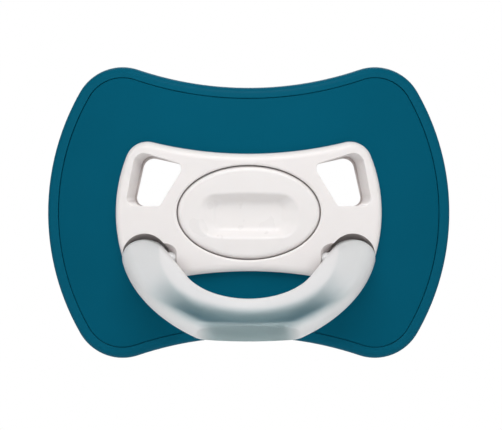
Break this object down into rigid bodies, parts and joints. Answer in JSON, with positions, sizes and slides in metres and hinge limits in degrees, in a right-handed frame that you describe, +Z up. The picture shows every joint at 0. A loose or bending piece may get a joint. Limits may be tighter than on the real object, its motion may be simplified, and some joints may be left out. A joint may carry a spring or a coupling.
{
  "type": "pacifier",
  "caption": "Butterfly-shaped soother: curved shield with a rolled rim, vented centre plate, dished oval plug, hinged ring handle and soft teat.",
  "frame": {"origin": "on the teat's axis, in the plane where the lips meet the back cover", "axes": "+Z up, +Y from the shield along the teat into the mouth (the front faces -Y), +X across the shield to the right seen from the front"},
  "size_m": [0.055, 0.0434, 0.0398],
  "materials": {
    "teal_plastic": "satin teal polypropylene",
    "teal_panel": "satin teal polypropylene, flat and even",
    "white_plastic": "milky white satin plastic",
    "white_plug": "milky white satin plastic",
    "white_cover": "milky white satin plastic",
    "clear_plastic": "clear, slightly cloudy plastic",
    "silicone": "clear soft silicone"
  },
  "bodies": {
    "shield": {"shield_shell": "teal_plastic", "front_panel": "teal_panel", "centre_plate": "white_plastic", "back_cover": "white_cover", "oval_plug": "white_plug", "teat_root": "silicone"},
    "ring": {"ring_handle": "clear_plastic"},
    "teat": {"teat_bulb": "silicone"}
  },
  "joints": [
    {"name": "ring_swing", "type": "hinge", "parent": "shield", "child": "ring", "pos_m": [0, -0.0028, -0.0062], "axis": [-1, 0, 0], "range_deg": [-35, 50]},
    {"name": "teat_flex", "type": "hinge", "parent": "shield", "child": "teat", "pos_m": [0, 0.0045, 0], "axis": [1, 0, 0], "range_deg": [-20, 20], "stiffness_Nm_per_rad": 0.07}
  ]
}
